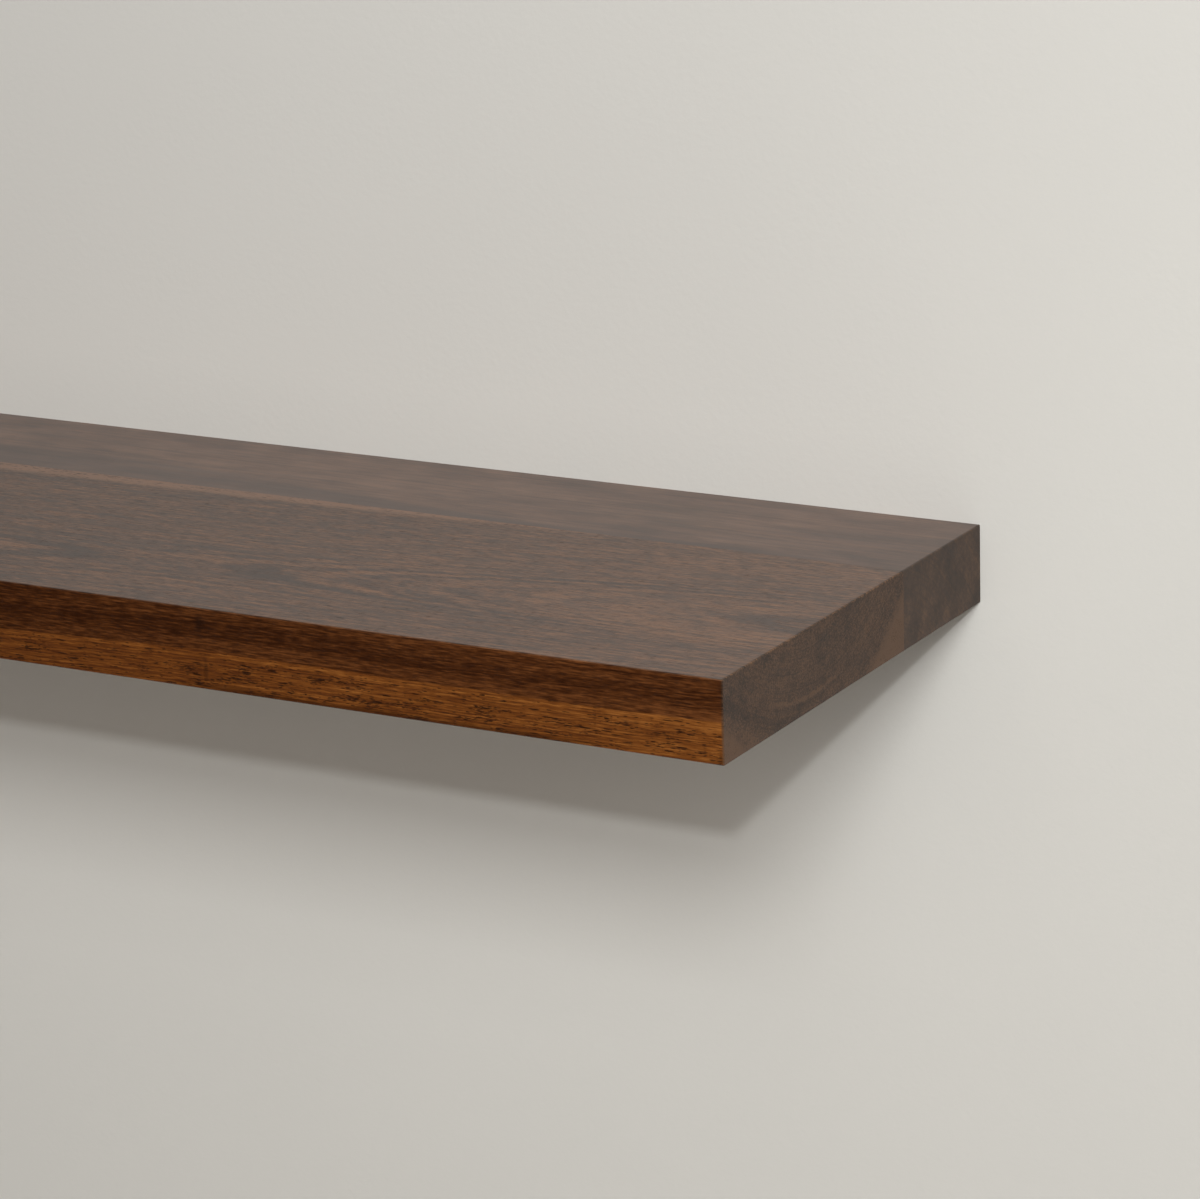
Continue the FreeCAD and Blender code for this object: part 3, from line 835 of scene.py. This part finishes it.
# %% The screw's thread
def wound_thread():
    """A sharp triangle carried round the core by a Screw modifier, closed at both ends."""
    # a triangle of equal sides is one and a half radii high
    radius = (THREAD_RADIUS - CORE_RADIUS + THREAD_ROOT) / 1.5
    bpy.ops.object.select_all(action="DESELECT")
    bpy.ops.mesh.primitive_circle_add(
        vertices=3, radius=radius, fill_type="NGON", rotation=(0.0, 0.0, math.radians(-90)),
        location=(THREAD_RADIUS - radius, THREAD_START_Y, 0.0))
    thread = bpy.context.object
    bpy.ops.object.transform_apply(location=True, rotation=True, scale=True)
    bpy.ops.object.mode_set(mode="EDIT")
    foot = (0.0, THREAD_START_Y, 0.0)
    bpy.ops.transform.resize(value=(1.0, THREAD_THINNED, 1.0), center_override=foot)
    bpy.ops.object.mode_set(mode="OBJECT")
    turns = (TIP_Y - THREAD_SPARE - THREAD_START_Y) / THREAD_PITCH
    winding = thread.modifiers.new("winding", "SCREW")
    winding.axis, winding.angle, winding.screw_offset = "Y", math.tau * turns, THREAD_PITCH * turns
    winding.steps = winding.render_steps = round(STEPS_PER_TURN * turns)
    winding.use_smooth_shade = False
    bpy.ops.object.modifier_apply(modifier=winding.name)
    bpy.ops.object.mode_set(mode="EDIT")
    bpy.ops.mesh.select_all(action="SELECT")
    bpy.ops.mesh.remove_doubles(threshold=WELD)
    bpy.ops.mesh.fill_holes(sides=4)
    bpy.ops.object.mode_set(mode="OBJECT")
    return thread


def on_crest(vertex, crest):
    """Whether a corner lies on the thread's sharp edge, at a place on Y."""
    return abs(vertex.co.y - crest) < ON_CREST and math.hypot(vertex.co.x, vertex.co.z) > CORE_RADIUS


def raise_start(thread):
    """Lets the first half turn rise out of the core, as the rolling dies leave it."""
    bpy.ops.object.mode_set(mode="EDIT")
    for step in range(STEPS_PER_TURN // 2):
        crest = THREAD_START_Y + THREAD_PITCH * step / STEPS_PER_TURN
        height = (THREAD_RADIUS - CORE_RADIUS) * 2 * step / STEPS_PER_TURN
        if pick(thread, lambda v: on_crest(v, crest)):
            narrow((CORE_RADIUS - START_ROOT + height) / THREAD_RADIUS, (0.0, crest, 0.0))
    bpy.ops.mesh.select_all(action="SELECT")
    bpy.ops.mesh.normals_make_consistent(inside=False)
    bpy.ops.object.mode_set(mode="OBJECT")


screw_thread = wound_thread()
raise_start(screw_thread)
screw_thread.data.transform(Matrix.Translation((SCREW_X, 0.0, 0.0)))
print("thread:", len(screw_thread.data.polygons), "faces")


# %% Body and thread joined and pointed
def joined(body, thread):
    """Both shells as one mesh."""
    bpy.ops.object.select_all(action="DESELECT")
    for part in (thread, body):
        part.select_set(True)
    bpy.context.view_layer.objects.active = body
    bpy.ops.object.join()
    return bpy.context.object


def sharpen(screw):
    """One taper narrows the core and its thread together into the point."""
    centre = bpy.data.objects.new("centre", None)
    centre.location = (SCREW_X, TIP_Y - POINT_LENGTH, 0.0)
    bpy.context.scene.collection.objects.link(centre)
    bpy.context.view_layer.update()
    point = screw.modifiers.new("point", "SIMPLE_DEFORM")
    point.deform_method, point.deform_axis, point.factor, point.origin = "TAPER", "Y", POINT_TAPER, centre
    point.limits = (1.0 - POINT_LENGTH / (TIP_Y - HEAD_Y), 1.0)
    bpy.ops.object.modifier_apply(modifier=point.name)
    bpy.data.objects.remove(centre)
    bpy.ops.object.shade_smooth_by_angle(angle=SMOOTH_UNDER)


first_screw = joined(screw_body, screw_thread)
sharpen(first_screw)
screw_box = [tuple(round(c, 5) for c in first_screw.bound_box[corner]) for corner in (0, 6)]
print("screw faces:", len(first_screw.data.polygons), "box:", screw_box)

# %% Copies for the other holes
for number in range(1, 7):
    node = f"wall_screw_{number}"
    low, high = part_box(node)
    mesh = first_screw.data if number == 1 else first_screw.data.copy()
    screw = first_screw if number == 1 else bpy.data.objects.new("screw", mesh)
    if number > 1:
        bpy.context.scene.collection.objects.link(screw)
        mesh.transform(Matrix.Translation(((low.x + high.x) / 2 - SCREW_X, 0.0, 0.0)))
    screw.name = mesh.name = f"wood_screw_{number}"
    mesh.materials.clear()
    mesh.materials.append(BRIGHT_ZINC)
    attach(screw, "wall_bracket")
    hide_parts(node)

# %% [markdown]
# ## The wall and the floor
#
# Rolled emulsion leaves a fine orange peel. The wall is a plane a hair in front of the plate's back, and
# the floor lies 1.1 m below. Both let the camera look through them from behind, so that the shelf can be
# turned about, and both stay solid for light.

# %% Emulsion
PEEL_CELLS, CLOUD_CELLS, PEEL_DEPTH, PEEL_STRENGTH, EMULSION_ROUGH = 0.28, 0.004, 0.0007, 0.18, 0.7


def one_sided(finish, shader):
    """Lets the camera, and nothing else, look through a face from behind."""
    behind = finish.add("ShaderNodeNewGeometry", output=6)
    seen = finish.add("ShaderNodeLightPath", output=0)
    clear = finish.add("ShaderNodeBsdfTransparent")
    return finish.add("ShaderNodeMixShader", {}, {0: behind * seen, 1: shader, 2: clear})


def emulsion(name, colour):
    finish = Finish(name)
    place = millimetres(finish)
    peel = finish.noise(place, detail=3.0, roughness=0.55, scale=PEEL_CELLS)
    cloud = finish.noise(place, detail=2.0, scale=CLOUD_CELLS)
    tint = finish.dim(colour[:3], cloud * 0.04 + 0.98)
    shader = finish.shade(tint, EMULSION_ROUGH, finish.bump(peel, PEEL_DEPTH, PEEL_STRENGTH))
    return finish.surface(one_sided(finish, shader))


WALL_EMULSION = emulsion("wall_emulsion", screen(217, 215, 210))
FLOOR_PAINT = emulsion("floor_paint", screen(208, 204, 198))
print("emulsion:", WALL_EMULSION.name, "and", FLOOR_PAINT.name)

# %% Wall and floor
WALL_Y, FLOOR_Z = -0.0003, -1.1
ROOM_WIDTH, WALL_HEIGHT, FLOOR_DEPTH = 12.0, 5.0, 1.5


def flat_sheet(name, width, height, place, material):
    """One face of the room, with its place in its mesh."""
    bpy.ops.mesh.primitive_plane_add(size=1.0)
    sheet = bpy.context.object
    sheet.name = name
    sheet.data.transform(place @ Matrix.Diagonal((width, height, 1.0, 1.0)))
    sheet.data.materials.append(material)
    return sheet


upright = Matrix.Rotation(math.radians(90), 4, "X")
wall_place = Matrix.Translation((0.0, WALL_Y, FLOOR_Z + WALL_HEIGHT / 2)) @ upright
floor_place = Matrix.Translation((0.0, -FLOOR_DEPTH / 2, FLOOR_Z))
wall = flat_sheet("wall", ROOM_WIDTH, WALL_HEIGHT, wall_place, WALL_EMULSION)
floor = flat_sheet("floor", ROOM_WIDTH, FLOOR_DEPTH, floor_place, FLOOR_PAINT)
print("wall faces", tuple(round(c, 2) for c in wall.data.polygons[0].normal))

# %% [markdown]
# ## Light
#
# Studio light for a small object is mostly one big soft lamp. One lamp alone would give a shadow with a
# single softness, and this shadow has a clear edge inside a wide soft margin. So four lamps hang flat to
# the wall: a small bulb draws the edge, a window above it and a wide glow round the window soften it,
# and a warm glow low in the room fills the dark. A bare lamp would also glare white in the waxed top when
# the shelf is seen from behind, so mirror reflections don't see the lamps.

# %% Lamps
LAMP_DISTANCE = 3.2
SHADOW_CORNER_X, SHADOW_CORNER_Z = 0.33, -0.155
DAY, WARM = (0.98, 1.0, 1.0), (1.0, 0.92, 0.85)


def soft_lamp(name, aside, above, half_width, half_height, power, colour):
    """A lamp flat to the wall. Its place and size are slopes, as seen from the corner of the shadow."""
    data = bpy.data.lights.new(name, "AREA")
    data.shape = "RECTANGLE"
    data.size, data.size_y = 2 * half_width * LAMP_DISTANCE, 2 * half_height * LAMP_DISTANCE
    data.energy, data.color = power, colour
    lamp = bpy.data.objects.new(name, data)
    bpy.context.scene.collection.objects.link(lamp)
    lamp.location.x = SHADOW_CORNER_X + aside * LAMP_DISTANCE
    lamp.location.y = -LAMP_DISTANCE
    lamp.location.z = SHADOW_CORNER_Z + above * LAMP_DISTANCE
    lamp.rotation_euler = (math.radians(90), 0.0, 0.0)
    lamp.visible_glossy = False
    return lamp


lamps = [
    soft_lamp("bulb", 0.515, 0.526, 0.015, 0.013, 38.0, DAY),
    soft_lamp("window", 0.51, 0.70, 0.16, 0.13, 85.0, DAY),
    soft_lamp("window_glow", 0.77, 0.75, 0.56, 0.23, 69.0, DAY),
    soft_lamp("room_glow", 0.10, 0.32, 0.27, 0.40, 28.0, WARM),
]
print("lamps at", [tuple(round(c, 2) for c in lamp.location) for lamp in lamps])

# %% [markdown]
# ### The room round the shelf
#
# What no lamp and no wall covers is the world. In front of the wall it is nearly dark, so that the lamps
# do the work and the front edge mirrors dark depths. Reflections alone see a soft window in it, which
# stands in for the hidden lamps. Behind the wall it is open daylight, for looking at the bracket from its
# back. The camera sees a plain pale tone instead of all that.

# %% The room
WINDOW_WAY, WINDOW_RIM = Vector((0.6, -1.0, 0.65)).normalized(), (0.72, 0.96)
ROOM_DARK, DAYLIGHT, WINDOW_SHEEN, PALE_LEVEL = 0.01, 0.8, 0.9, 0.62
ROOM_TINT, PALE_TINT = (1.0, 0.84, 0.735, 1.0), (1.0, 0.985, 0.96, 1.0)

world = bpy.data.worlds.new("room")
world.use_nodes = True
bpy.context.scene.world = world
room = Finish("room", world.node_tree)
toward = room.add("ShaderNodeTexCoord")
behind = room.add("ShaderNodeSeparateXYZ", {}, {0: toward}).output(1).ramp(0.0, 0.1)
towards_window = {0: toward, 1: WINDOW_WAY}
window = room.add("ShaderNodeVectorMath", {"operation": "DOT_PRODUCT"}, towards_window, output=1)
seen = room.add("ShaderNodeLightPath", output=0)
mirrored = seen.output(3) * window.ramp(*WINDOW_RIM)
room_level = behind * DAYLIGHT + (1.0 - behind) * ROOM_DARK + mirrored * WINDOW_SHEEN
strength = seen * PALE_LEVEL + (1.0 - seen) * room_level
tint = room.mix(seen, ROOM_TINT, PALE_TINT)
background = room.add("ShaderNodeBackground", {}, {"Color": tint, "Strength": strength})
room.add("ShaderNodeOutputWorld", {}, {"Surface": background})
bpy.context.scene.view_settings.view_transform = "Standard"
print("the room's light has", len(world.node_tree.nodes), "nodes")
